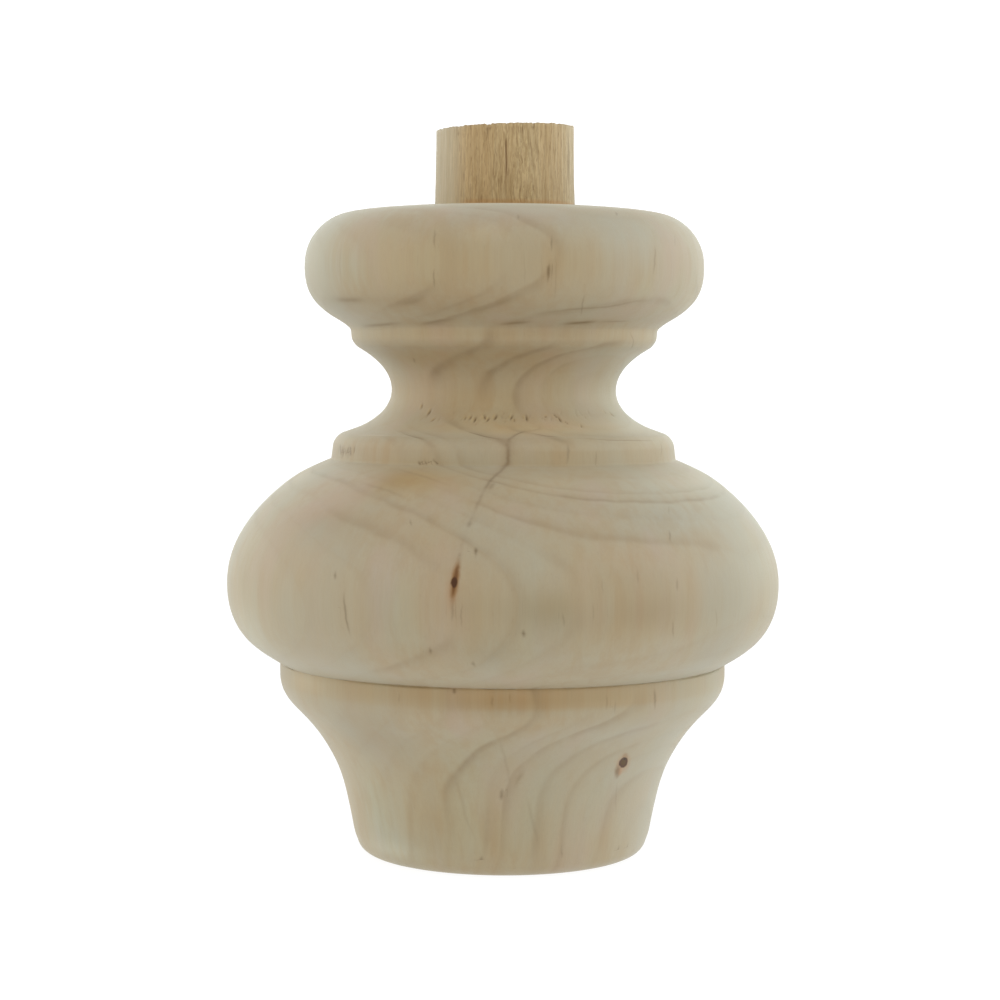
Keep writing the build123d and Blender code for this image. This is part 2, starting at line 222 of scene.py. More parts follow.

# Soft patches of tone: (angle, height, half size across mm, half size up mm, lighter, warmer, pinker). They hold the
# wood's own tone, and also painted light and shade: the darker patches under the head and in the neck's cove are
# painted shade, and the paler patches near the left and right edges and low on the cove above the collar are painted
# light.
TONE_LIGHT_SHADE_PATCHES = [
    (-24.5, 69.5, 7.8, 4.5, -0.105, 2.40, 0.10), (-50.4, 66.2, 7.4, 5.7, 0.020, 0.10, 0.60), (-24.2, 53.4, 5.5, 7.3, 0.045, -1.00, 0.00),
    (9.8, 50.3, 4.0, 2.9, -0.050, 0.50, 0.00), (28.2, 48.5, 6.6, 4.3, -0.045, 0.55, 0.10), (24.8, 47.3, 20.6, 3.0, -0.035, 0.00, 0.00),
    (51.7, 39.8, 6.9, 4.7, -0.060, 0.00, 0.00), (26.6, 57.3, 6.1, 3.2, 0.010, 0.10, 0.50), (33.0, 41.5, 17.3, 2.6, 0.045, -0.70, 0.00),
    (43.0, 56.1, 6.5, 7.0, 0.000, 0.10, 0.25), (-9.8, 50.5, 4.3, 4.9, 0.000, 0.00, 0.20), (8.3, 64.5, 11.7, 2.2, 0.020, -0.30, 0.10),
    (-41.7, 63.2, 7.1, 1.7, -0.030, 0.50, 0.10), (-44.4, 55.7, 6.1, 4.5, 0.000, 0.20, 0.30), (-15.9, 43.7, 10.4, 2.6, 0.020, -0.35, 0.00),
    (14.1, 56.1, 4.8, 4.2, -0.020, 0.30, 0.00), (-34.7, 42.8, 6.7, 2.4, 0.010, 0.10, 0.10), (-61.5, 43.9, 9.0, 5.4, 0.060, -0.10, 0.00),
    (8.5, 48.5, 5.0, 3.6, -0.140, 0.60, 0.00), (-2.4, 41.4, 3.9, 2.1, -0.040, 0.00, 0.00), (38.0, 62.8, 11.1, 4.6, 0.000, -0.50, 0.00),
    (49.3, 64.9, 16.9, 3.7, 0.020, -0.40, 0.00), (-39.9, 34.8, 8.1, 2.9, -0.020, 0.60, 0.00), (-2.8, 32.1, 11.7, 1.4, -0.030, 0.10, 0.00),
    (-33.7, 24.1, 6.1, 6.7, -0.035, 0.45, 0.00), (-33.6, 5.0, 11.2, 3.8, 0.020, -0.70, -0.30), (-17.3, 33.7, 10.7, 1.3, -0.030, 0.45, 0.10),
    (3.1, 33.2, 7.5, 1.5, -0.030, 0.55, 0.30), (24.0, 33.1, 9.5, 1.5, -0.030, 0.15, -0.15), (-32.9, 33.0, 4.7, 2.0, 0.000, 0.40, 0.10),
    (-16.3, 26.3, 10.9, 5.1, 0.020, -0.20, 0.00), (26.9, 26.0, 10.4, 3.5, 0.040, -0.60, 0.00), (-24.5, 9.6, 2.2, 6.8, -0.050, 0.30, 0.30),
    (-3.3, 7.8, 1.6, 5.9, -0.045, 0.30, 0.30), (-46.5, 3.9, 6.0, 2.7, 0.040, -0.70, 0.00), (-39.5, 26.0, 10.9, 4.2, -0.050, 0.00, 0.00),
    (13.4, 6.6, 1.6, 5.2, -0.050, 0.30, 0.30), (40.1, 7.5, 2.0, 7.6, -0.045, 0.20, 0.30), (-10.6, 14.0, 2.5, 7.0, 0.020, -0.30, 0.00),
    (27.8, 13.6, 2.9, 9.8, 0.020, -0.30, 0.00), (-48.0, 6.7, 4.9, 5.8, -0.015, 0.20, 0.30), (-35.3, 19.6, 5.2, 5.1, -0.010, 0.20, 0.10),
    (59.4, 11.6, 7.0, 8.3, 0.010, -0.20, 0.10), (-49.1, 106.1, 7.1, 5.1, 0.000, -0.50, 0.00), (51.9, 101.6, 10.9, 3.0, 0.040, -0.20, 0.00),
    (-32.4, 98.7, 16.8, 2.1, -0.040, 0.10, 0.00), (39.4, 115.6, 15.8, 3.4, -0.030, 0.40, 0.00), (-32.3, 105.8, 14.6, 5.7, 0.000, 0.35, -0.40),
    (-1.3, 113.2, 10.1, 1.9, -0.010, 0.00, 0.45), (24.3, 111.0, 9.6, 4.0, 0.045, -0.50, 0.00), (15.5, 105.8, 5.3, 3.7, -0.035, 0.60, 0.00),
    (57.7, 106.5, 12.1, 5.2, 0.000, -0.10, 0.30), (-9.1, 104.7, 5.1, 3.3, -0.020, 0.30, 0.00), (-53.7, 99.8, 8.0, 1.0, -0.130, 0.50, 0.00),
    (-60.1, 98.7, 7.7, 2.1, -0.060, 0.00, 0.00), (-49.2, 95.5, 7.7, 0.8, -0.100, 0.50, 0.10), (-28.0, 95.8, 4.0, 0.8, -0.100, 0.50, 0.10),
    (2.7, 96.0, 2.9, 0.8, -0.100, 0.50, 0.10), (28.3, 96.1, 4.6, 0.8, -0.100, 0.50, 0.10), (-10.5, 97.5, 12.1, 3.1, -0.040, 0.20, 0.00),
    (40.2, 109.1, 6.3, 4.7, 0.020, -0.30, 0.00), (-9.7, 99.5, 10.3, 1.9, 0.010, 0.20, 0.20), (-23.5, 101.9, 3.8, 1.1, -0.030, 0.30, 0.00),
    (-27.3, 90.0, 8.9, 2.7, -0.095, 0.90, 0.10), (-1.4, 90.8, 20.6, 2.2, -0.030, 0.60, 0.00), (75.4, 90.9, 9.6, 2.7, 0.050, -0.30, 0.00),
    (-6.3, 81.6, 3.5, 1.6, 0.060, 0.00, 0.00), (-1.2, 77.5, 22.3, 2.2, 0.050, 0.45, 0.00), (77.6, 77.1, 12.8, 3.2, 0.050, 0.00, 0.00),
    (6.4, 90.8, 4.2, 2.6, -0.035, 0.30, 0.10), (43.6, 90.4, 13.1, 3.7, 0.000, 0.00, 0.00), (-11.4, 82.5, 10.7, 3.0, 0.000, 0.30, 0.00),
    (28.4, 86.0, 2.1, 5.7, -0.020, 0.30, 0.00), (-30.9, 69.1, 4.4, 3.9, -0.170, 0.90, 0.00), (-55.0, 90.3, 8.8, 4.4, -0.170, 1.00, 0.10),
    (18.8, 88.4, 4.8, 3.9, -0.050, 0.60, 0.10), (20.3, 94.6, 8.6, 1.8, -0.100, 0.40, 0.20), (14.1, 77.5, 19.7, 3.5, 0.140, 0.85, 0.10),
    (65.4, 77.1, 10.8, 3.9, 0.190, -0.10, 0.00), (79.1, 90.7, 12.8, 2.6, 0.100, -0.30, -0.10), (52.4, 101.3, 11.0, 3.9, 0.030, -0.45, -0.50),
    (-18.4, 99.8, 16.2, 3.6, -0.050, 0.15, 0.00), (43.8, 115.3, 14.9, 4.2, -0.120, 0.90, 0.00), (-74.9, 68.6, 7.8, 2.4, 0.140, 0.00, 0.00),
    (67.3, 68.5, 16.4, 3.4, 0.150, -0.40, -0.20), (11.7, 68.8, 6.9, 2.5, 0.090, -0.10, 0.00), (47.9, 50.9, 8.0, 6.7, -0.085, 0.05, 0.00),
    (29.1, 48.2, 6.7, 3.0, -0.070, 0.00, -0.05), (-42.0, 62.0, 10.9, 4.1, -0.085, 0.05, 0.00), (-2.4, 43.2, 19.6, 4.9, -0.040, 0.00, -0.35),
    (-0.5, 32.0, 13.3, 1.6, -0.075, 0.00, -0.20), (-39.8, 24.4, 9.2, 6.4, -0.090, 0.20, 0.00), (-10.9, 11.3, 19.5, 9.4, 0.000, -0.20, -0.70),
    (-50.5, 8.7, 4.0, 7.8, 0.070, -1.40, -1.00), (-45.8, 3.2, 5.6, 1.7, 0.180, -0.70, -0.30), (-58.5, 33.4, 6.7, 1.8, 0.170, -0.10, -0.10),
    (-63.6, 45.5, 6.2, 6.5, 0.080, -0.70, -0.40), (82.7, 99.7, 13.6, 2.4, 0.110, -0.30, -0.20), (-68.2, 41.2, 7.7, 4.6, 0.120, -0.60, -0.30),
    (-22.0, 48.2, 4.7, 5.6, 0.020, -0.80, -0.40), (-50.5, 105.4, 6.8, 4.1, 0.020, -0.80, -0.30), (39.4, 62.1, 11.4, 3.7, 0.010, -0.80, -0.20),
    (-4.5, 110.9, 4.7, 1.8, 0.080, -0.10, 0.00), (27.0, 52.7, 7.7, 4.3, -0.050, 0.00, 0.00), (-4.6, 49.6, 9.8, 2.3, -0.040, 0.00, -0.20),
    (42.4, 67.9, 9.6, 2.8, 0.050, -0.60, -0.10), (-9.3, 79.4, 4.2, 1.6, 0.090, 0.10, 0.00), (-3.4, 22.3, 8.5, 5.9, 0.000, -0.45, -0.70),
    (-53.5, 73.3, 10.2, 1.7, 0.000, -0.10, 0.30), (-17.0, 73.8, 9.0, 1.4, 0.010, -0.20, 0.00),
]


# Bands round the turning: (low, high, middle angle, half angle, softness mm, lighter, warmer, pinker). The paler,
# cooler bands on the bulb's underside just above the seam and on the foot just under the fillet are painted light from
# the floor.
TONE_AND_LIGHT_BANDS = [
    (31.45, 34.8, 0.0, 200.0, 0.3, -0.020, 0.30, 0.05),
    (31.5, 34.8, 16.0, 24.0, 0.25, -0.030, 0.60, 0.25),
    (29.0, 31.3, 10.0, 80.0, 1.2, 0.020, -0.20, 0.00),
    (71.2, 74.15, 39.0, 28.0, 0.3, -0.030, 0.35, 0.05),
    (92.9, 94.9, 0.0, 200.0, 0.8, 0.040, 0.10, 0.00),
    (35.1, 37.2, 0.0, 200.0, 1.0, 0.020, -0.20, 0.00),
    (115.2, 116.8, 0.0, 200.0, 0.9, -0.110, 0.20, 0.00),
]


def smooth(t):
    t = np.clip(t, 0.0, 1.0)
    return t * t * (3 - 2 * t)


def wave_noise(x, seed, cells=512):
    """Smooth seeded noise of one variable, about -1..1; x in cells."""
    table = np.random.default_rng(seed).uniform(-1, 1, cells)
    i = np.floor(x).astype(int)
    t = smooth(x - i)
    return table[i % cells] * (1 - t) + table[(i + 1) % cells] * t


def grid_noise(x, y, seed, cells=256):
    """Smooth seeded noise of two variables, about -1..1."""
    table = np.random.default_rng(seed).uniform(-1, 1, (cells, cells))
    i, j = np.floor(x).astype(int), np.floor(y).astype(int)
    u, v = smooth(x - i), smooth(y - j)
    a, b, c, d = i % cells, (i + 1) % cells, j % cells, (j + 1) % cells
    return (table[a, c] * (1 - u) + table[b, c] * u) * (1 - v) + (table[a, d] * (1 - u) + table[b, d] * u) * v


# ---- the lathe: columns round the axis, finest on the side that is seen ----------
prof = np.array(PROFILE)
n_rows = len(prof)
columns = np.concatenate([
    np.arange(-60.0, 60.0, 0.5),
    np.linspace(60.0, 110.0, 34)[:-1],
    np.linspace(110.0, 250.0, 45)[:-1],
    np.linspace(250.0, 300.0, 34)[:-1],
])
n_cols = len(columns)
run = np.concatenate([[0], np.cumsum(np.hypot(*np.diff(prof, axis=0).T))])  # length along the outline
R = np.repeat(prof[:, :1], n_cols, 1)
Z = np.repeat(prof[:, 1:], n_cols, 1)
S = np.repeat(run[:, None], n_cols, 1)
A = np.repeat(columns[None, :], n_rows, 0)
A = (A + 180.0) % 360.0 - 180.0
ang = np.radians(A)
ACROSS = R * ang  # mm round the surface from the front
tangent = np.gradient(prof, axis=0)
tangent /= np.linalg.norm(tangent, axis=1)[:, None]
NR, NZ = tangent[:, 1][:, None], -tangent[:, 0][:, None]  # outward
fine = smooth((112.0 - np.abs(A)) / 12.0)  # 1 where the columns are close together
side = np.arange(n_rows) > 12  # rows above the flat base


def at_height(h):
    """Radius and outline length of the outer surface at a height."""
    k = np.flatnonzero(side)
    return np.interp(h, prof[k, 1], prof[k, 0]), np.interp(h, prof[k, 1], run[k])


def local(angle, height):
    """Millimetres across and up from a point of the surface."""
    r, s = at_height(height)
    d = (A - angle + 180.0) % 360.0 - 180.0
    return np.radians(d) * R, S - s


def lens(angle, height, across, up, lean=0.0):
    u, v = local(angle, height)
    t = math.radians(lean)
    u2, v2 = u * math.cos(t) - v * math.sin(t), u * math.sin(t) + v * math.cos(t)
    return np.exp(-(u2 / across) ** 2 - (v2 / up) ** 2), u2, v2


# ---- surface relief, in mm along the outward normal -----------------------------
relief = np.zeros_like(R)
# the two fields below paint shadow into each nick, and a highlight on the paler raised fibre beside it
pit_shadow = np.zeros_like(R)
pit_lip_pale_and_highlight = np.zeros_like(R)
for angle, height, lean, size in PITS:
    g, u, v = lens(angle, height, 0.16 * size, 0.52 * size, lean)
    relief -= 0.22 * size * g
    pit_shadow = np.maximum(pit_shadow, g)
    lip = np.exp(-(((u + 0.34 * size) / 0.17) ** 2) - ((v - 0.15) / (0.45 * size)) ** 2)
    relief += 0.06 * lip
    pit_lip_pale_and_highlight = np.maximum(pit_lip_pale_and_highlight, lip)
rng = np.random.default_rng(4)
for k in range(34):  # fainter ones along the same band
    angle, height = rng.uniform(-44, 44), rng.normal(79.6, 0.6)
    size = rng.uniform(0.3, 0.6)
    g, u, v = lens(angle, height, 0.20 * size, rng.uniform(0.4, 1.3) * size, rng.uniform(-35, 35))
    relief -= 0.10 * g
    pit_shadow = np.maximum(pit_shadow, 0.22 * g)
# cut marks on the collar, with painted shadow in them
for angle, height, size in [(-70.0, 73.4, 1.0), (-66.0, 73.0, 0.8), (-61.0, 73.2, 1.1), (-57.5, 73.6, 0.6)]:
    g, u, v = lens(angle, height, 0.3 * size, 1.0 * size)
    relief -= 0.22 * size * g
    pit_shadow = np.maximum(pit_shadow, 0.7 * g)

# the tenon keeps the rough, fibrous surface of its cut
on_tenon = (Z > 116.85) & (R > 12.0) & (R < 13.0)
x = ACROSS
torn = np.exp(-(((A - 15.0) / 8.0) ** 2)) + 0.30 * np.exp(-(((A + 18.0) / 9.0) ** 2))
fibre = 0.030 * grid_noise(x / 0.30, Z / 5.0, 11) + 0.035 * grid_noise(x / 0.62 + 31, Z / 9.0, 12) + 0.02 * grid_noise(x / 0.22, Z / 1.6, 13)
fibre += torn * (0.075 * grid_noise(x / 0.40 + 0.12 * Z, Z / 1.7, 14) + 0.05 * grid_noise(x / 0.30, Z / 0.9, 15))
relief += np.where(on_tenon, fibre * fine, 0.0)
split_u = ACROSS - 0.19 + 0.05 * np.sin(Z * 0.9)
split_s = smooth((128.9 - Z) / 1.6) * (0.22 + 0.78 * smooth((Z - 121.0) / 2.4)) * on_tenon
relief -= 0.22 * np.exp(-(split_u / 0.16) ** 2) * split_s
relief = relief * np.where(side, 1.0, 0.0)[:, None]

# crisp edges are never perfectly even
edge_rows = np.exp(-(((Z - 75.5) / 0.7) ** 2)) + np.exp(-(((Z - 34.65) / 0.35) ** 2)) + np.exp(-(((Z - 92.4) / 0.6) ** 2))
relief += -0.035 * edge_rows * (0.5 + 0.5 * wave_noise((A + 180) / 3.1, 21))
quirk = np.exp(-(((Z - 34.87) / 0.13) ** 2))
open_part = np.exp(-(((A + 24) / 14) ** 2)) + np.exp(-(((A - 62) / 12) ** 2)) + 0.5 * np.exp(-(((A - 20) / 9) ** 2))
relief += quirk * (0.05 * wave_noise((A + 180) / 2.3, 22) + 0.10 - 0.16 * np.clip(open_part, 0, 1) + 0.08 * np.exp(-(((A + 48) / 14) ** 2)))

R2 = R + relief * NR
Z2 = Z + relief * NZ

# saw cut across the tenon, with a rim that follows the fibres
plane = TOP + SAW_LEAN * R * np.sin(ang)
rim = 0.05 * wave_noise((A + 180) / 1.1, 31) + 0.07 * wave_noise((A + 180) / 3.3, 32)
for a0, w, d in [(-66.0, 2.0, 0.14), (-42.0, 1.6, 0.28), (-37.5, 1.0, 0.15), (-14.8, 1.2, 0.28), (-12.2, 1.0, 0.30), (1.0, 0.8, 0.14), (23.5, 1.0, 0.30), (48.0, 1.6, 0.18)]:
    rim -= d * np.exp(-(((A - a0) / w) ** 2))
top = plane + rim * fine
lift = np.where(on_tenon, smooth((Z - 117.4) / 13.6), 0.0)
Z2 = Z2 + lift * (top - TOP)

# rows across the sawn end
cap_r = [12.18, 11.6, 10.2, 8.4, 6.4, 4.4, 2.4]
cap = []
for r in cap_r:
    p = TOP + SAW_LEAN * r * np.sin(ang[0])
    rough = 0.03 * grid_noise(r * np.sin(ang[0]) * 1.3 + 60, r * np.cos(ang[0]) * 4.0 + 60, 33)
    near = max(0.0, (r - 11.0) / 1.2)
    cap.append((np.full(n_cols, r) + (0.02 * (r > 12)), p + rough + near * 0.8 * (rim * fine)[0]))
R3 = np.concatenate([R2, [c[0] for c in cap]])
Z3 = np.concatenate([Z2, [c[1] for c in cap]])
A3 = np.concatenate([A, np.repeat(A[:1], len(cap), 0)])
ang3 = np.radians(A3)
X3, Y3 = R3 * np.sin(ang3), -R3 * np.cos(ang3)
n_all = len(R3)


def per_point(field, cap_value=None):
    """Adds values for the cap rows."""
    f = np.concatenate([field, np.repeat(field[-1:], len(cap), 0) if cap_value is None else np.full((len(cap), n_cols), cap_value)])
    return f


# ---- figure: a smooth bend of the rings, so that they pass through the lines above ----
guide_r, guide_w, guide_p, guide_a = [], [], [], []
for radius, strength, pts in FIGURE:
    pts = np.array(pts)
    fine_pts = [pts[0]]
    for a, b in zip(pts[:-1], pts[1:]):
        r_m = at_height((a[1] + b[1]) / 2)[0]
        n = max(1, int(round(math.hypot(math.radians(b[0] - a[0]) * r_m, b[1] - a[1]) / 2.0)))
        fine_pts += [a + (b - a) * k / n for k in range(1, n + 1)]
    for a, h in fine_pts:
        r = at_height(h)[0]
        guide_p.append((r * math.sin(math.radians(a)), -r * math.cos(math.radians(a)), h))
        guide_r.append(radius)
        guide_w.append(3.0 / math.sqrt(len(fine_pts)))
        guide_a.append(strength)
guide_p, guide_r, guide_w, guide_a = map(np.array, (guide_p, guide_r, guide_w, guide_a))


def pith_distance(P):
    return np.hypot(P[..., 0] - PITH[0] - PITH_LEAN[0] * (P[..., 2] - 60), P[..., 1] - PITH[1] - PITH_LEAN[1] * (P[..., 2] - 60))


centres = []
for p in guide_p:
    if all(np.linalg.norm(p - c) > 5.0 for c in centres):
        centres.append(p)
centres = np.array(centres)


def bumps(P, size=8.5):
    d2 = ((P[:, None, :] - centres) ** 2 * (1, 1, 0.6)).sum(-1)
    return np.exp(-d2 / (2 * size * size))


M = bumps(guide_p) * guide_w[:, None]
want = (guide_r - pith_distance(guide_p)) * guide_w
weights = np.linalg.solve(M.T @ M + 0.6 * np.eye(len(centres)), M.T @ want)

P3 = np.stack([X3, Y3, Z3], -1).reshape(-1, 3)
P3 = np.concatenate([P3, [(0, 0, 0), (0, 0, TOP)]])
warp = np.zeros(len(P3))
amp = np.zeros(len(P3))
for k in range(0, len(P3), 8000):
    Q = P3[k : k + 8000]
    warp[k : k + 8000] = bumps(Q) @ weights
    d2 = ((Q[:, None, :] - guide_p) ** 2).sum(-1)
    amp[k : k + 8000] = (np.exp(-d2 / (2 * 1.9**2)) * guide_a).max(1)
azimuth = np.degrees(np.arctan2(P3[:, 0], -P3[:, 1]))
unseen = smooth((np.abs(azimuth) - 62.0) / 25.0)
amp = np.maximum(amp, 0.10 + 0.50 * unseen)
flat_end = (np.hypot(P3[:, 0], P3[:, 1]) < 12.3) & ((P3[:, 2] > 130.0) | (P3[:, 2] < 0.01))
amp = np.where(flat_end, 0.6, amp)

# branch trace, flecks, knots and patches
tr = np.array(TRACE)[::-1]
tz, ta, ts = tr[:, 1], tr[:, 0], tr[:, 2]
t_angle = np.interp(Z, tz, ta)
slope = np.gradient(np.interp(prof[:, 1], tz, ta)) * math.pi / 180 * prof[:, 0] / np.maximum(np.gradient(run), 1e-6)
trace_u = np.radians(A - t_angle) * R / np.sqrt(1 + slope[:, None] ** 2)
trace_s = np.interp(Z, tz, ts) * smooth((Z - 56.0) / 2.0) * smooth((78.6 - Z) / 0.6) * (np.abs(trace_u) < 3.0)
trace_s *= side[:, None]

fleck_u = np.full_like(R, 9.0)
fleck_w = np.full_like(R, 0.2)
fleck_s = np.zeros_like(R)
for pts, width, strength in FLECKS:
    p = np.array(pts)[::-1]
    fa = np.interp(Z, p[:, 1], p[:, 0])
    u = ((A - fa + 180.0) % 360.0 - 180.0) * math.pi / 180 * R
    s_low, s_high = at_height(p[0, 1])[1], at_height(p[-1, 1])[1]
    reach = max(s_high - s_low, 0.8)
    t = (S - (s_low + s_high) / 2) / reach
    along = smooth((0.58 - np.abs(t)) / (0.42 if reach > 2.0 else 0.30))
    near = (np.abs(u) < 1.3) & (np.abs(t) * reach < 0.58 * reach + 1.3) & side[:, None] & (np.abs(u) < np.abs(fleck_u))
    fleck_u = np.where(near, u, fleck_u)
    fleck_w = np.where(near, width * (0.6 + 0.4 * along), fleck_w)
    fleck_s = np.where(near, strength * along, fleck_s)

cross_v = np.full_like(R, 9.0)
cross_w = np.full_like(R, 0.15)
cross_s = np.zeros_like(R)
for pts, width, strength in CROSS:
    p = np.array(pts)
    s_at = np.array([at_height(h)[1] for h in p[:, 1]])
    line_s = np.interp(A, p[:, 0], s_at)
    steep = np.gradient(np.interp(columns, p[:, 0], s_at)) / np.maximum(np.gradient(np.radians(columns)) * at_height(p[:, 1].mean())[0], 1e-6)
    v = (S - line_s) / np.sqrt(1 + steep[None, :] ** 2)
    fade = max(2.0, 0.42 * (p[-1, 0] - p[0, 0]))
    ends = smooth((A - p[0, 0]) / fade) * smooth((p[-1, 0] - A) / fade)
    near = (np.abs(v) < 1.0) & (ends > 0) & side[:, None] & (np.abs(v) < np.abs(cross_v))
    cross_v = np.where(near, v, cross_v)
    cross_w = np.where(near, width, cross_w)
    cross_s = np.where(near, strength * ends, cross_s)

knot_a = local(*KNOT_A)
knot_b = local(*KNOT_B)
light, warm, pink = np.zeros_like(R), np.zeros_like(R), np.zeros_like(R)
for angle, height, wu, wv, dl, dw, dp in TONE_LIGHT_SHADE_PATCHES:
    u, v = local(angle, height)
    g = np.exp(-((u / wu) ** 2) - (v / wv) ** 2)
    light += g * dl
    warm += g * dw
    pink += g * dp
for low, high, middle, half, soft, dl, dw, dp in TONE_AND_LIGHT_BANDS:
    d = np.abs((A - middle + 180.0) % 360.0 - 180.0)
    g = smooth((Z - low) / soft + 0.5) * smooth((high - Z) / soft + 0.5) * smooth((half - d) / 8.0 + 0.5) * side[:, None]
    light += g * dl
    warm += g * dw
    pink += g * dp

# ---- mesh ----------------------------------------------------------------------
cols = np.arange(n_cols)
quads = []
for i in range(n_all - 1):
    a, b = i * n_cols + cols, i * n_cols + (cols + 1) % n_cols
    quads.append(np.stack([a, b, b + n_cols, a + n_cols], 1))
quads = np.concatenate(quads)
bottom_centre, top_centre = n_all * n_cols, n_all * n_cols + 1
faces = quads.tolist()
faces += [(bottom_centre, int((c + 1) % n_cols), int(c)) for c in cols]
last = (n_all - 1) * n_cols
faces += [(top_centre, int(last + c), int(last + (c + 1) % n_cols)) for c in cols]

mesh = bpy.data.meshes.new("turned_wood")
mesh.from_pydata((P3 / 1000.0).tolist(), [], faces)
mesh.validate()
mesh.update()
mesh.polygons.foreach_set("use_smooth", [True] * len(mesh.polygons))
leg = bpy.data.objects.new("turned_wood", mesh)
bpy.context.scene.collection.objects.link(leg)


def store(name, values):
    at = mesh.attributes.new(name, "FLOAT", "POINT")
    at.data.foreach_set("value", np.asarray(values, dtype=np.float32).ravel())


def store3(name, a, b, c):
    """Three surface fields as one vector attribute."""
    at = mesh.attributes.new(name, "FLOAT_VECTOR", "POINT")
    v = [np.concatenate([per_point(f, d).ravel(), [d, d]]) for f, d in (a, b, c)]
    at.data.foreach_set("vector", np.stack(v, 1).astype(np.float32).ravel())


store("ring_bend", warp)
store("ring_strength", amp)
trace_w = 0.30 + 0.12 * smooth((Z - 70.8) / 1.0) * smooth((76.4 - Z) / 1.0)  # half width, mm
store3("branch", (trace_u, 9.0), (trace_s, 0.0), (trace_w, 0.3))
store3("fleck", (fleck_u, 9.0), (fleck_w, 0.2), (fleck_s, 0.0))
store3("cross", (cross_v, 9.0), (cross_w, 0.15), (cross_s, 0.0))
store3("knot_a", (np.clip(knot_a[0], -30, 30), 30.0), (np.clip(knot_a[1], -30, 30), 30.0), (np.zeros_like(R), 0.0))
store3("knot_b", (np.clip(knot_b[0], -30, 30), 30.0), (np.clip(knot_b[1], -30, 30), 30.0), (np.zeros_like(R), 0.0))
# wood tone with painted light and shade, from the patches and bands
store3("tone_light_shade", (light, 0.0), (warm, 0.0), (pink, 0.0))
store3("torn", (pit_shadow, 0.0), (pit_lip_pale_and_highlight, 0.0), (np.where(on_tenon, torn, 0.0), 0.0))
store3("split", (split_u, 9.0), (split_s, 0.0), (np.zeros_like(R), 0.0))


# ---- wood ------------------------------------------------------------------------
def srgb(r, g, b):
    return tuple((c / 255 / 12.92) if c <= 10 else ((c / 255 + 0.055) / 1.055) ** 2.4 for c in (r, g, b)) + (1.0,)


class Graph:
    """Short names for the nodes of one material."""

    def __init__(self, tree):
        self.tree = tree
        self.count = 0

    def node(self, kind, **settings):
        n = self.tree.nodes.new(kind)
        for k, v in settings.items():
            setattr(n, k, v)
        n.location = ((self.count % 12) * 190, -(self.count // 12) * 230)
        self.count += 1
        return n

    def put(self, socket, value):
        if isinstance(value, bpy.types.NodeSocket):
            self.tree.links.new(value, socket)
        else:
            socket.default_value = value

    def math(self, op, a, b=None, c=None, clamp=False):
        n = self.node("ShaderNodeMath", operation=op, use_clamp=clamp)
        for i, v in enumerate((a, b, c)):
            if v is not None:
                self.put(n.inputs[i], v)
        return n.outputs[0]

    def add(self, a, b):
        return self.math("ADD", a, b)

    def sub(self, a, b):
        return self.math("SUBTRACT", a, b)

    def mul(self, a, b):
        return self.math("MULTIPLY", a, b)

    def ramp(self, value, lo, hi, a=0.0, b=1.0):
        n = self.node("ShaderNodeMapRange", interpolation_type="SMOOTHSTEP")
        for i, v in enumerate((value, lo, hi, a, b)):
            self.put(n.inputs[i], v)
        return n.outputs[0]

    def bell(self, value, width):
        """exp(-(value/width)^2)"""
        q = self.math("DIVIDE", value, width)
        return self.math("POWER", math.e, self.mul(self.mul(q, q), -1.0))

    def mix(self, fac, a, b, blend="MIX"):
        n = self.node("ShaderNodeMix", data_type="RGBA", blend_type=blend)
        self.put(n.inputs[0], fac)
        self.put(n.inputs[6], a)
        self.put(n.inputs[7], b)
        return n.outputs[2]

    def noise(self, point, scale, detail=2.0, rough=0.5):
        """Noise of a point in mm, scale given per axis; 0..1 about 0.5."""
        v = self.node("ShaderNodeVectorMath", operation="MULTIPLY")
        self.put(v.inputs[0], point)
        v.inputs[1].default_value = scale
        n = self.node("ShaderNodeTexNoise", noise_dimensions="3D")
        self.put(n.inputs["Vector"], v.outputs[0])
        n.inputs["Scale"].default_value = 1.0
        n.inputs["Detail"].default_value = detail
        n.inputs["Roughness"].default_value = rough
        return n.outputs[0]

    def field(self, name):
        n = self.node("ShaderNodeAttribute", attribute_name=name, attribute_type="GEOMETRY")
        return n

    def split(self, vector):
        n = self.node("ShaderNodeSeparateXYZ")
        self.put(n.inputs[0], vector)
        return n.outputs


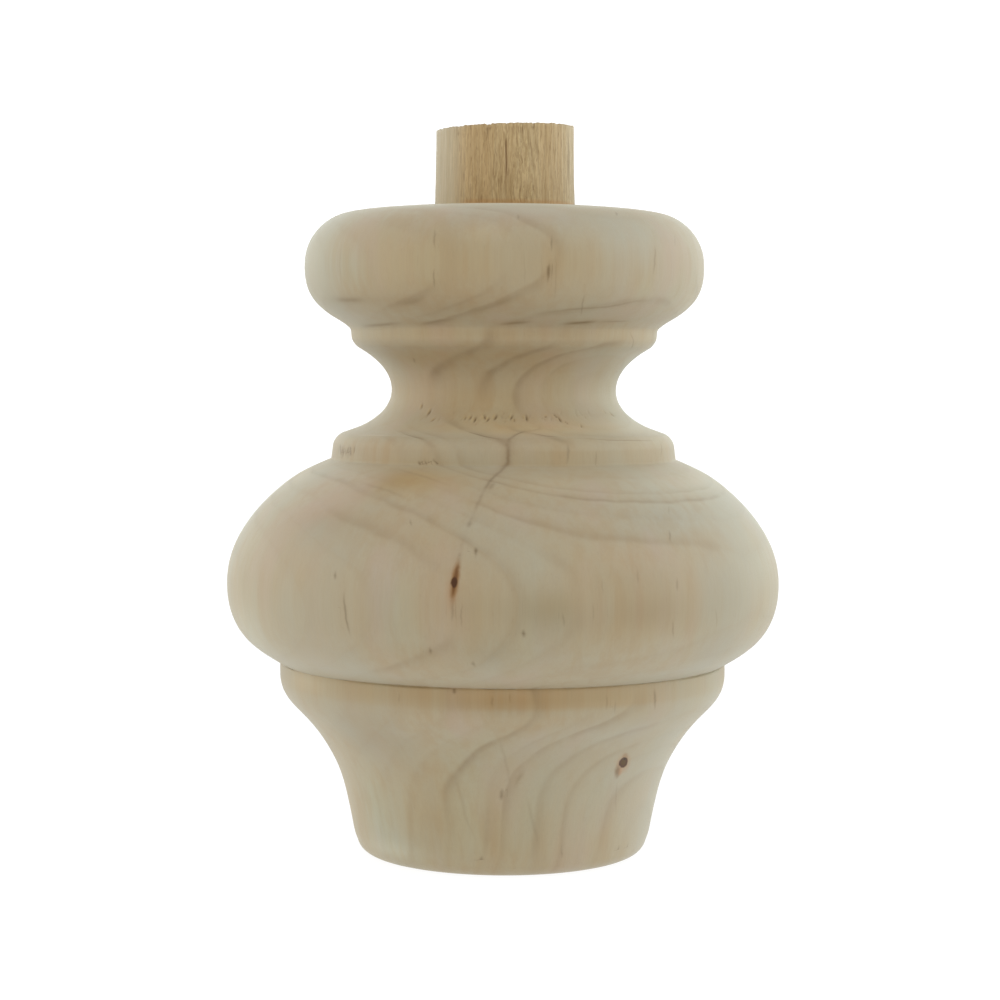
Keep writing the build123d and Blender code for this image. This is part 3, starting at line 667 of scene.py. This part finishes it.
def bare_wood():
    mat = bpy.data.materials.new("bare_wood")
    mat.use_nodes = True
    mat.node_tree.nodes.clear()
    g = Graph(mat.node_tree)
    out = g.node("ShaderNodeOutputMaterial")
    shader = g.node("ShaderNodeBsdfPrincipled")
    g.tree.links.new(shader.outputs[0], out.inputs[0])

    place = g.node("ShaderNodeTexCoord").outputs["Object"]
    mm = g.node("ShaderNodeVectorMath", operation="SCALE")
    g.put(mm.inputs[0], place)
    mm.inputs["Scale"].default_value = 1000.0
    mm = mm.outputs[0]
    x, y, z = g.split(mm)

    # distance from the pith, bent so that the figure runs as it should
    dx = g.add(g.sub(x, PITH[0] - 60 * PITH_LEAN[0]), g.mul(z, -PITH_LEAN[0]))
    dy = g.add(g.sub(y, PITH[1] - 60 * PITH_LEAN[1]), g.mul(z, -PITH_LEAN[1]))
    dist = g.math("SQRT", g.add(g.mul(dx, dx), g.mul(dy, dy)))
    dist = g.add(dist, g.field("ring_bend").outputs["Fac"])
    dist = g.add(dist, g.mul(g.sub(g.noise(mm, (0.17, 0.17, 0.035), 1.5), 0.5), 1.1))
    curve = g.node("ShaderNodeFloatCurve")
    c = curve.mapping.curves[0]
    last_ring = len(RINGS) - 1
    while len(c.points) < len(RINGS):
        c.points.new(0.5, 0.5)
    for k, radius in enumerate(RINGS):
        c.points[k].location = (radius / RINGS[-1], k / last_ring)
        c.points[k].handle_type = "VECTOR"
    curve.mapping.update()
    g.put(curve.inputs["Value"], g.math("DIVIDE", dist, float(RINGS[-1])))
    number = g.mul(curve.outputs[0], float(last_ring))
    part = g.math("FRACT", number)
    whole = g.math("FLOOR", number)
    strength = g.field("ring_strength").outputs["Fac"]

    # late wood: a thin darker line with a soft side towards the pith
    thin = g.ramp(part, 0.74, 0.96)
    start = g.ramp(part, 0.13, 0.0)
    thin = g.math("MAXIMUM", thin, start)
    soft = g.math("POWER", part, 2.3)
    soft = g.math("MAXIMUM", soft, g.ramp(part, 0.20, 0.0))
    uneven = g.noise(mm, (0.22, 0.22, 0.06), 1.5)
    uneven = g.ramp(uneven, 0.3, 0.62, 0.50, 1.0)
    line = g.mul(g.mul(thin, strength), uneven)
    shade = g.mul(g.mul(soft, strength), uneven)

    # tone of each ring, and streaks and fibres along the grain
    ring_tone = g.node("ShaderNodeTexWhiteNoise", noise_dimensions="1D")
    g.put(ring_tone.inputs["W"], whole)
    ring_tone = ring_tone.outputs["Value"]
    broad = g.noise(mm, (0.045, 0.045, 0.03), 2.0)
    streak = g.noise(mm, (0.42, 0.42, 0.013), 3.0, 0.6)
    fibre = g.noise(mm, (3.2, 3.2, 0.10), 3.0, 0.6)
    pore = g.noise(mm, (5.5, 5.5, 0.28), 1.0)
    pore = g.ramp(pore, 0.665, 0.76)
    hue = g.noise(mm, (0.11, 0.11, 0.025), 2.0)

    body = srgb(158, 145, 118)
    tan = srgb(154, 135, 104)
    grey = srgb(156, 150, 130)
    rose = srgb(161, 143, 121)
    col = g.mix(g.ramp(streak, 0.38, 0.68, 0.0, 0.62), body, tan)
    col = g.mix(g.ramp(hue, 0.48, 0.70, 0.0, 0.70), col, rose)
    col = g.mix(g.ramp(broad, 0.46, 0.68, 0.0, 0.72), col, grey)
    col = g.mix(g.mul(g.ramp(ring_tone, 0.0, 1.0), 0.22), col, tan)

    # narrow streaks that differ only in warmth
    narrow = g.noise(mm, (1.05, 1.05, 0.02), 2.0, 0.6)
    narrow = g.ramp(narrow, 0.30, 0.70, -1.0, 1.0)
    slow = g.noise(mm, (0.24, 0.24, 0.02), 1.0)
    slow = g.ramp(slow, 0.30, 0.70, -1.0, 1.0)
    swing = g.add(g.mul(narrow, 0.5), g.mul(slow, 0.6))
    gain0 = g.node("ShaderNodeCombineColor")
    for i, k in enumerate((0.006, -0.010, -0.032)):
        g.put(gain0.inputs[i], g.add(1.0, g.mul(swing, k)))
    col = g.mix(1.0, col, gain0.outputs[0], "MULTIPLY")

    # patches: lighter, warmer, pinker; the wood's own tone, with painted light and painted shade in places
    tone_light_shade = g.split(g.field("tone_light_shade").outputs["Vector"])
    gain = g.node("ShaderNodeCombineColor")
    g.put(gain.inputs[0], g.add(g.add(1.0, tone_light_shade[0]), g.add(g.mul(tone_light_shade[1], 0.04), g.mul(tone_light_shade[2], 0.025))))
    g.put(gain.inputs[1], g.add(g.add(1.0, tone_light_shade[0]), g.add(g.mul(tone_light_shade[1], -0.02), g.mul(tone_light_shade[2], -0.03))))
    g.put(gain.inputs[2], g.add(g.add(1.0, tone_light_shade[0]), g.add(g.mul(tone_light_shade[1], -0.13), g.mul(tone_light_shade[2], 0.01))))
    col = g.mix(1.0, col, gain.outputs[0], "MULTIPLY")

    # the tenon is browner and coarser
    on_tenon = g.mul(g.ramp(z, 116.6, 116.95), g.ramp(g.add(g.mul(x, x), g.mul(y, y)), 13.4**2, 13.0**2))
    waver = g.sub(g.noise(mm, (0.7, 0.7, 0.40), 2.0), 0.5)
    bent = g.node("ShaderNodeCombineXYZ")
    g.put(bent.inputs[0], g.mul(waver, 0.9))
    shifted = g.node("ShaderNodeVectorMath", operation="ADD")
    g.put(shifted.inputs[0], mm)
    g.put(shifted.inputs[1], bent.outputs[0])
    shifted = shifted.outputs[0]
    coarse = g.noise(shifted, (2.6, 2.6, 0.20), 4.0, 0.70)
    tenon = g.mix(g.ramp(coarse, 0.36, 0.64), srgb(157, 135, 97), srgb(183, 162, 124))
    tenon = g.mix(g.ramp(g.noise(mm, (0.40, 0.40, 0.02), 2.0), 0.40, 0.66, 0.0, 0.50), tenon, srgb(165, 139, 98))
    dark_hair = g.ramp(g.noise(shifted, (5.0, 5.0, 0.42), 2.0), 0.56, 0.68)
    tenon = g.mix(g.mul(dark_hair, 0.46), tenon, srgb(112, 84, 51))
    root = g.mul(g.ramp(z, 118.0, 117.4), g.ramp(x, -8.2, -6.8))
    tenon = g.mix(g.mul(root, 0.42), tenon, srgb(163, 119, 72))
    torn_here = g.split(g.field("torn").outputs["Vector"])[2]
    # pale torn fibres on the tenon: their own paler wood, with a painted highlight on them
    torn_pale_and_highlight = g.mul(g.ramp(g.noise(shifted, (2.8, 2.8, 1.1), 3.0, 0.6), 0.52, 0.66), torn_here)
    tenon = g.mix(g.mul(torn_pale_and_highlight, 0.50), tenon, srgb(200, 180, 136))
    pale_left = g.ramp(g.add(x, g.mul(coarse, 2.4)), -4.9, -8.9)
    tenon = g.mix(g.mul(pale_left, 0.85), tenon, srgb(171, 159, 133))
    col = g.mix(on_tenon, col, tenon)
    col = g.mix(1.0, col, (1.030, 1.044, 1.076, 1.0), "MULTIPLY")

    # rings, fibres and pores
    col = g.mix(g.mul(shade, 0.42), col, srgb(131, 109, 76))
    col = g.mix(g.mul(line, 0.18), col, srgb(98, 78, 54))
    flat = g.node("ShaderNodeNewGeometry").outputs["Normal"]
    nz = g.math("ABSOLUTE", g.split(flat)[2])
    end_grain = g.ramp(nz, 0.80, 0.97)
    col = g.mix(g.mul(end_grain, 0.22), col, srgb(147, 123, 89))
    fib = g.ramp(fibre, 0.3, 0.7, -1.0, 1.0)
    deep = g.add(0.018, g.mul(on_tenon, 0.060))
    val = g.add(1.0, g.mul(fib, deep))
    gain2 = g.node("ShaderNodeCombineColor")
    for i in range(3):
        g.put(gain2.inputs[i], val)
    col = g.mix(1.0, col, gain2.outputs[0], "MULTIPLY")
    col = g.mix(g.mul(pore, g.add(0.09, g.mul(on_tenon, 0.20))), col, srgb(107, 82, 50))

    # branch trace and flecks
    br = g.split(g.field("branch").outputs["Vector"])
    wander = g.mul(g.sub(g.noise(mm, (0.6, 0.6, 0.9), 2.0), 0.5), 0.40)
    broken = g.ramp(g.noise(mm, (0.3, 0.3, 0.55), 1.0), 0.38, 0.60, 0.30, 1.0)
    trace = g.mul(g.mul(g.bell(g.add(br[0], wander), br[2]), br[1]), broken)
    halo = g.mul(g.bell(g.add(br[0], wander), 0.9), br[1])
    col = g.mix(g.mul(halo, 0.12), col, srgb(126, 99, 70))
    col = g.mix(g.math("MINIMUM", g.mul(trace, 0.50), 0.85), col, srgb(94, 66, 30))
    fl = g.split(g.field("fleck").outputs["Vector"])
    wobble = g.mul(g.sub(g.noise(mm, (0.5, 0.5, 0.6), 2.0), 0.5), 0.55)
    fleck = g.mul(g.bell(g.add(fl[0], wobble), fl[1]), fl[2])
    col = g.mix(g.mul(fleck, 0.72), col, srgb(87, 64, 31))

    cr = g.split(g.field("cross").outputs["Vector"])
    waver = g.mul(g.sub(g.noise(mm, (0.5, 0.5, 0.5), 1.0), 0.5), 0.20)
    cross = g.mul(g.bell(g.add(cr[0], waver), cr[1]), cr[2])
    col = g.mix(g.math("MAXIMUM", cross, 0.0), col, srgb(98, 72, 20))
    # minus strength paints a paler line: a painted highlight along the collar's top edge
    col = g.mix(g.math("MAXIMUM", g.mul(cross, -1.0), 0.0), col, srgb(196, 181, 148))

    # torn grain: painted shadow in the nick, and a paler raised fibre with a painted highlight on it
    tn = g.split(g.field("torn").outputs["Vector"])
    col = g.mix(g.mul(tn[0], 0.76), col, srgb(88, 62, 18))
    col = g.mix(g.mul(tn[1], 0.42), col, srgb(186, 160, 112))

    # the split down the tenon
    sp = g.split(g.field("split").outputs["Vector"])
    col = g.mix(g.mul(g.mul(g.bell(sp[0], 0.11), sp[1]), 0.72), col, srgb(88, 54, 16))
    col = g.mix(g.mul(g.mul(g.bell(sp[0], 0.5), sp[1]), 0.12), col, srgb(122, 83, 47))

    # pin knot on the bulb: a dark core in a reddish spindle
    def oval(field, lean, across, up, shift=(0.0, 0.0), rag=0.0):
        p = g.split(g.field(field).outputs["Vector"])
        t = math.radians(lean)
        u = g.sub(p[0], shift[0])
        v = g.sub(p[1], shift[1])
        u2 = g.sub(g.mul(u, math.cos(t)), g.mul(v, math.sin(t)))
        v2 = g.add(g.mul(u, math.sin(t)), g.mul(v, math.cos(t)))
        u2 = g.math("DIVIDE", u2, across)
        v2 = g.math("DIVIDE", v2, up)
        d = g.math("SQRT", g.add(g.mul(u2, u2), g.mul(v2, v2)))
        if rag:
            d = g.add(d, g.mul(g.sub(g.noise(mm, (1.4, 1.4, 0.8), 2.0), 0.5), rag))
        return d

    d = oval("knot_a", 6.5, 1.3, 4.4, (-0.35, -0.8), 0.5)
    col = g.mix(g.ramp(d, 1.25, 0.2, 0.0, 0.30), col, srgb(156, 117, 82))
    d = oval("knot_a", 6.0, 0.95, 4.6, (-0.02, 0.25), 0.35)
    col = g.mix(g.ramp(d, 1.05, 0.30, 0.0, 0.84), col, srgb(122, 84, 36))
    d = oval("knot_a", 7.0, 0.42, 3.2, (0.0, 0.4), 0.4)
    col = g.mix(g.ramp(d, 1.1, 0.35, 0.0, 0.70), col, srgb(88, 50, 8))
    d = oval("knot_a", 4.0, 0.62, 0.95, (-0.12, 0.05), 0.5)
    core_a = g.ramp(d, 1.15, 0.6)
    col = g.mix(g.mul(core_a, 0.97), col, srgb(64, 32, 0))
    # pin knot on the foot: an oval with a dark edge and a warm tail below it
    d = oval("knot_b", -38.0, 1.75, 2.8, (-0.35, -0.1), 0.6)
    col = g.mix(g.ramp(d, 1.2, 0.2, 0.0, 0.60), col, srgb(158, 116, 76))
    d = oval("knot_b", -24.0, 0.80, 1.90, (-0.80, -1.85), 0.5)
    col = g.mix(g.ramp(d, 1.2, 0.2, 0.0, 0.68), col, srgb(108, 76, 36))
    d = oval("knot_b", -40.0, 0.66, 1.15, (-0.68, 1.50), 0.4)
    col = g.mix(g.ramp(d, 1.2, 0.3, 0.0, 0.55), col, srgb(132, 102, 64))
    d = oval("knot_b", -20.0, 0.50, 1.1, (-0.05, -2.1), 0.4)
    col = g.mix(g.ramp(d, 1.2, 0.3, 0.0, 0.35), col, srgb(170, 122, 80))
    d = oval("knot_b", -43.0, 0.88, 1.42, (-0.35, 0.0), 0.35)
    core_b = g.ramp(d, 1.15, 0.85)
    col = g.mix(g.mul(core_b, 0.97), col, srgb(68, 34, 0))
    col = g.mix(g.mul(g.ramp(d, 0.74, 0.40), 0.85), col, srgb(80, 54, 0))
    d = oval("knot_b", -40.0, 0.24, 0.36, (-0.44, 0.80), 0.3)
    col = g.mix(g.mul(g.ramp(d, 1.2, 0.5), 0.8), col, srgb(40, 24, 6))

    g.put(shader.inputs["Base Color"], col)
    rough = g.add(0.56, g.mul(g.sub(fibre, 0.5), 0.16))
    rough = g.add(rough, g.mul(on_tenon, 0.12))
    rough = g.add(rough, g.mul(g.math("MAXIMUM", core_a, core_b), 0.15))
    g.put(shader.inputs["Roughness"], rough)
    shader.inputs["IOR"].default_value = 1.5
    shader.inputs["Specular IOR Level"].default_value = 0.3
    shader.inputs["Sheen Weight"].default_value = 0.24
    shader.inputs["Sheen Roughness"].default_value = 0.5
    shader.inputs["Sheen Tint"].default_value = (0.90, 1.0, 0.96, 1.0)

    height = g.add(g.mul(fibre, g.add(0.5, g.mul(on_tenon, 1.6))), g.mul(coarse, g.mul(on_tenon, 1.4)))
    height = g.sub(height, g.mul(pore, 0.5))
    height = g.sub(height, g.mul(line, 0.35))
    height = g.sub(height, g.mul(g.math("MAXIMUM", core_a, core_b), 1.2))
    bump = g.node("ShaderNodeBump")
    bump.inputs["Strength"].default_value = 0.30
    bump.inputs["Distance"].default_value = 0.0001
    g.put(bump.inputs["Height"], height)
    g.put(shader.inputs["Normal"], bump.outputs[0])
    return mat


wood = bare_wood()
mesh.materials.append(wood)
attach(leg, "root")
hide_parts("turned_leg")
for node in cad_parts.values():
    if hasattr(node.data, "materials"):
        node.data.materials.clear()
        node.data.materials.append(wood)

# ---- plain pale floor -----------------------------------------------------------
floor_mesh = bpy.data.meshes.new("floor")
F = 4.0
floor_mesh.from_pydata([(-F, -F, 0), (F, -F, 0), (F, F, 0), (-F, F, 0)], [], [(0, 1, 2, 3)])
floor = bpy.data.objects.new("floor", floor_mesh)
bpy.context.scene.collection.objects.link(floor)
floor.location.z = -0.00002
pale = bpy.data.materials.new("pale_floor")
pale.use_nodes = True
b = pale.node_tree.nodes["Principled BSDF"]
b.inputs["Base Color"].default_value = (0.12, 0.12, 0.12, 1.0)
b.inputs["Roughness"].default_value = 0.9
b.inputs["Specular IOR Level"].default_value = 0.1
b.inputs["Emission Color"].default_value = (1.0, 1.0, 1.0, 1.0)
b.inputs["Emission Strength"].default_value = 0.92
floor_mesh.materials.append(pale)

# ---- soft studio light: bright white screens at the sides, dark behind the camera -------
world = bpy.data.worlds.new("studio")
world.use_nodes = True
world.node_tree.nodes.clear()
w = Graph(world.node_tree)
w_out = w.node("ShaderNodeOutputWorld")
w_bg = w.node("ShaderNodeBackground")
w.tree.links.new(w_bg.outputs[0], w_out.inputs[0])
w_dir = w.split(w.node("ShaderNodeTexCoord").outputs["Generated"])
left, right = (2.12, 1.97, 1.74, 1.0), (2.60, 2.74, 2.74, 1.0)
front, back, top = (0.82, 0.65, 0.36, 1.0), (1.98, 2.12, 2.08, 1.0), (0.88, 0.96, 1.10, 1.0)
lit = w.mix(w.ramp(w_dir[0], -0.4, 0.4), left, right)
lit = w.mix(w.ramp(w_dir[1], 0.1, 0.8), lit, back)
lit = w.mix(w.ramp(w_dir[1], 0.0, -1.0), lit, front)
lit = w.mix(w.ramp(w_dir[2], 0.3, 0.9), lit, top)
seen = w.node("ShaderNodeLightPath").outputs["Is Camera Ray"]
w.put(w_bg.inputs["Color"], w.mix(seen, lit, (1.2, 1.2, 1.2, 1.0)))
w_bg.inputs["Strength"].default_value = 1.0
bpy.context.scene.world = world

# ---- camera ----------------------------------------------------------------------
PITCH = math.radians(-3.3965 + 0.0116)
ROLL = math.radians(0.2865)
YAW = math.radians(0.0116)  # to the left
forward = Vector((-math.sin(YAW) * math.cos(PITCH), math.cos(YAW) * math.cos(PITCH), math.sin(PITCH)))
right0 = forward.cross(Vector((0, 0, 1))).normalized()
up0 = right0.cross(forward)
right = right0 * math.cos(ROLL) + up0 * math.sin(ROLL)
up = up0 * math.cos(ROLL) - right0 * math.sin(ROLL)
cam_data = bpy.data.cameras.new("camera")
cam_data.sensor_width = 36.0
cam_data.lens = 88.6715
cam = bpy.data.objects.new("camera", cam_data)
bpy.context.scene.collection.objects.link(cam)
m = Matrix((right, up, -forward)).transposed().to_4x4()
m.translation = Vector((-0.00049928, -0.44756616, 0.09047655))
cam.matrix_world = m
cam_data.clip_start, cam_data.clip_end = 0.02, 30.0
bpy.context.scene.camera = cam
bpy.context.scene.view_settings.view_transform = "Standard"
bpy.context.scene.view_settings.look = "None"
